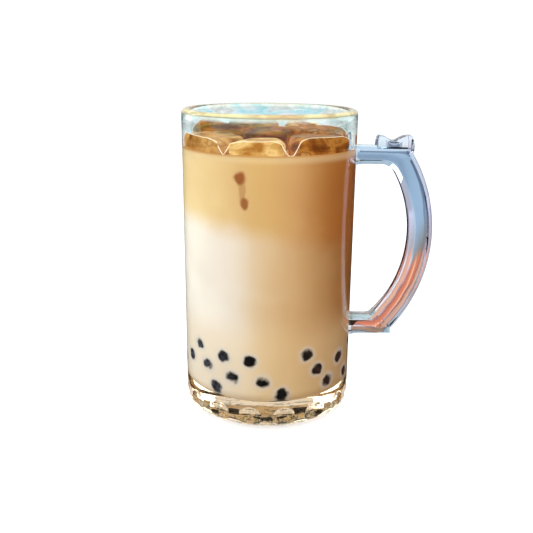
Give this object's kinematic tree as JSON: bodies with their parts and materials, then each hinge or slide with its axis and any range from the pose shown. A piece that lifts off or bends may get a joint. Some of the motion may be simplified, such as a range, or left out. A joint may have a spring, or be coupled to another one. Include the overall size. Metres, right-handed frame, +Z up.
{
  "type": "bubble tea",
  "caption": "Iced milk tea with black tapioca pearls and floating ice, in a straight glass mug with a thick fluted base and a curved handle with a thumb rest.",
  "frame": {"origin": "middle of the mug's foot, on the surface that it stands on", "axes": "+Z up along the axis of the straight glass body, +X from the axis towards the handle"},
  "size_m": [0.1293, 0.088, 0.155],
  "materials": {
    "glass": "clear, thick pressed glass",
    "milk_tea": "opaque liquid, tan tea above and milky cream on the left below",
    "ice": "clear wet ice tinted by the tea",
    "pearl": "glossy black-brown jelly"
  },
  "bodies": {
    "root": {"mug": "glass", "milk_tea": "milk_tea", "ice_1": "ice", "ice_2": "ice", "ice_3": "ice", "ice_4": "ice", "ice_5": "ice", "ice_6": "ice", "ice_7": "ice", "ice_8": "ice", "wall_pearl_1": "pearl", "wall_pearl_2": "pearl", "wall_pearl_3": "pearl", "wall_pearl_4": "pearl", "wall_pearl_5": "pearl", "wall_pearl_6": "pearl", "wall_pearl_7": "pearl", "wall_pearl_8": "pearl", "wall_pearl_9": "pearl", "wall_pearl_10": "pearl", "wall_pearl_11": "pearl", "wall_pearl_12": "pearl", "wall_pearl_13": "pearl", "wall_pearl_14": "pearl", "wall_pearl_15": "pearl", "wall_pearl_16": "pearl", "wall_pearl_17": "pearl", "wall_pearl_18": "pearl", "wall_pearl_19": "pearl", "wall_pearl_20": "pearl", "wall_pearl_21": "pearl", "wall_pearl_22": "pearl", "wall_pearl_23": "pearl", "wall_pearl_24": "pearl", "wall_pearl_25": "pearl", "wall_pearl_26": "pearl", "wall_pearl_27": "pearl", "wall_pearl_28": "pearl", "wall_pearl_29": "pearl", "floor_pearl_1": "pearl", "floor_pearl_2": "pearl", "floor_pearl_3": "pearl", "floor_pearl_4": "pearl", "floor_pearl_5": "pearl", "floor_pearl_6": "pearl", "floor_pearl_7": "pearl", "floor_pearl_8": "pearl", "floor_pearl_9": "pearl", "floor_pearl_10": "pearl", "floor_pearl_11": "pearl", "floor_pearl_12": "pearl"}
  },
  "joints": []
}
